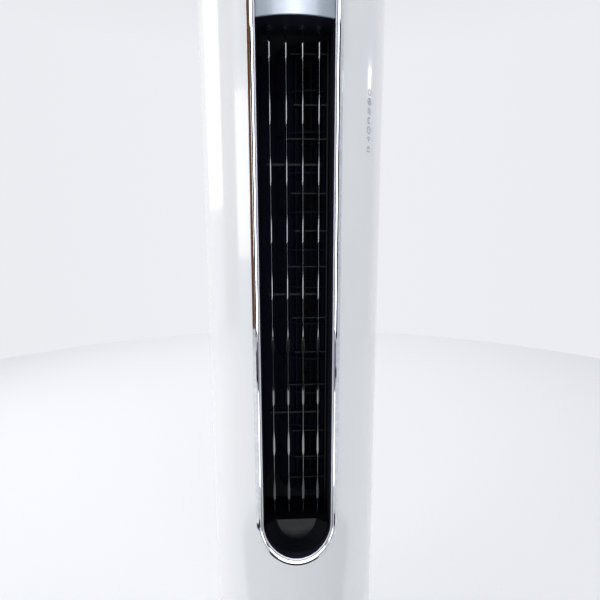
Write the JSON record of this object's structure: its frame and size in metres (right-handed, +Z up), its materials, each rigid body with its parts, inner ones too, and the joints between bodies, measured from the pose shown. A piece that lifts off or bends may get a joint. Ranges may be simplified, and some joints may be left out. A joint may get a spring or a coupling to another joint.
{
  "type": "tower fan",
  "caption": "Round tower fan on a weighted base, with a tall chrome-edged outlet, linked vertical vanes, cross-flow rotor, top keys and rear intake grille.",
  "frame": {"origin": "centre of the base on the floor", "axes": "+Z up, -Y is the front with the air outlet, +X is to the right seen from the front"},
  "size_m": [0.3, 0.3, 1.1],
  "materials": {
    "white_shell": "high gloss white moulding",
    "black_moulding": "satin black moulding",
    "black_gloss": "gloss black moulding",
    "chrome_trim": "polished chrome plate",
    "satin_silver": "satin silver paint",
    "silver_panel": "bluish silver lacquered panel",
    "smoked_window": "smoked clear window",
    "grey_structure": "plain grey moulding",
    "steel": "zinc plated sheet steel",
    "cast_base": "black coated cast iron",
    "rubber_feet": "moulded rubber",
    "gland_plastic": "nylon",
    "filter_fabric": "fine knitted mesh",
    "board_green": "solder mask",
    "bronze": "sintered bronze",
    "copper_winding": "enamelled winding",
    "nylon_white": "natural nylon",
    "button_silver": "silver lacquered keycap",
    "cable_sheath": "smooth sheath"
  },
  "bodies": {
    "housing": {"foot_pads": "rubber_feet", "base_plate": "cast_base", "base_cover": "white_shell", "case_screws": "steel", "chassis_tray": "grey_structure", "left_rail": "steel", "right_rail": "steel", "top_frame": "grey_structure", "front_shell": "white_shell", "rear_cover": "white_shell", "cord_gland": "gland_plastic", "top_cap": "white_shell", "control_panel": "black_gloss", "control_board": "board_green", "key_switches": "black_moulding", "trim_ring": "chrome_trim", "trim_lip": "satin_silver", "display_panel": "silver_panel", "display_window": "smoked_window", "display_board": "board_green", "outlet_duct": "black_moulding", "chin_cover": "black_gloss", "vane_carrier_top": "black_moulding", "vane_carrier_bottom": "black_moulding", "swing_motor": "steel", "volute_wall": "black_moulding", "stabiliser": "black_moulding", "guide_ribs": "black_moulding", "bulkhead_lower": "grey_structure", "bulkhead_upper": "grey_structure", "bearing_bush": "bronze", "motor_case": "steel", "motor_bearings": "bronze", "motor_stator": "copper_winding", "power_board": "board_green", "panel_cable": "cable_sheath", "motor_cable": "cable_sheath"},
    "fan_rotor": {"rotor": "black_moulding", "rotor_spindle": "steel", "motor_rotor": "steel"},
    "vane_1_body": {"vane_1": "black_gloss", "swing_coupling": "nylon_white", "swing_shaft": "steel"},
    "vane_2_body": {"vane_2": "black_gloss"},
    "vane_3_body": {"vane_3": "black_gloss"},
    "vane_4_body": {"vane_4": "black_gloss"},
    "vane_links": {"link_upper": "black_moulding", "link_middle": "black_moulding", "link_lower": "black_moulding"},
    "rear_intake": {"rear_grille": "white_shell", "filter_frame": "grey_structure", "filter_mesh": "filter_fabric"},
    "key_power": {"button_power": "button_silver"},
    "key_speed": {"button_speed": "button_silver"},
    "key_mode": {"button_mode": "button_silver"},
    "key_timer": {"button_timer": "button_silver"},
    "key_swing": {"button_swing": "button_silver"}
  },
  "joints": [
    {"name": "rotor_spin", "type": "hinge", "parent": "housing", "child": "fan_rotor", "pos_m": [0.024, 0.01, 0.635], "axis": [0, 0, 1], "continuous": true},
    {"name": "vane_1_swing", "type": "hinge", "parent": "housing", "child": "vane_1_body", "pos_m": [-0.0291, -0.074, 0.636], "axis": [0, 0, 1], "range_deg": [-35, 35]},
    {"name": "vane_2_swing", "type": "hinge", "parent": "housing", "child": "vane_2_body", "pos_m": [-0.0097, -0.074, 0.636], "axis": [0, 0, 1], "range_deg": [-35, 35]},
    {"name": "vane_3_swing", "type": "hinge", "parent": "housing", "child": "vane_3_body", "pos_m": [0.0097, -0.074, 0.636], "axis": [0, 0, 1], "range_deg": [-35, 35]},
    {"name": "vane_4_swing", "type": "hinge", "parent": "housing", "child": "vane_4_body", "pos_m": [0.0291, -0.074, 0.636], "axis": [0, 0, 1], "range_deg": [-35, 35]},
    {"name": "vane_links_pivot", "type": "hinge", "parent": "vane_1_body", "child": "vane_links", "pos_m": [-0.0291, -0.06, 0.634], "axis": [0, 0, 1], "range_deg": [-35, 35]},
    {"name": "press_power", "type": "slide", "parent": "housing", "child": "key_power", "axis": [0, 0, -1], "range_m": [0, 0.001], "stiffness_N_per_m": 800, "springref_m": -0.0005},
    {"name": "press_speed", "type": "slide", "parent": "housing", "child": "key_speed", "axis": [0, 0, -1], "range_m": [0, 0.001], "stiffness_N_per_m": 800, "springref_m": -0.0005},
    {"name": "press_mode", "type": "slide", "parent": "housing", "child": "key_mode", "axis": [0, 0, -1], "range_m": [0, 0.001], "stiffness_N_per_m": 800, "springref_m": -0.0005},
    {"name": "press_timer", "type": "slide", "parent": "housing", "child": "key_timer", "axis": [0, 0, -1], "range_m": [0, 0.001], "stiffness_N_per_m": 800, "springref_m": -0.0005},
    {"name": "press_swing", "type": "slide", "parent": "housing", "child": "key_swing", "axis": [0, 0, -1], "range_m": [0, 0.001], "stiffness_N_per_m": 800, "springref_m": -0.0005},
    {"name": "rear_intake_pull", "type": "slide", "parent": "housing", "child": "rear_intake", "axis": [0, 1, 0], "range_m": [0, 0.06]}
  ],
  "couplings": [
    {"joint": "vane_2_swing", "follows": "vane_1_swing", "ratio": 1},
    {"joint": "vane_3_swing", "follows": "vane_1_swing", "ratio": 1},
    {"joint": "vane_4_swing", "follows": "vane_1_swing", "ratio": 1},
    {"joint": "vane_links_pivot", "follows": "vane_1_swing", "ratio": -1}
  ]
}
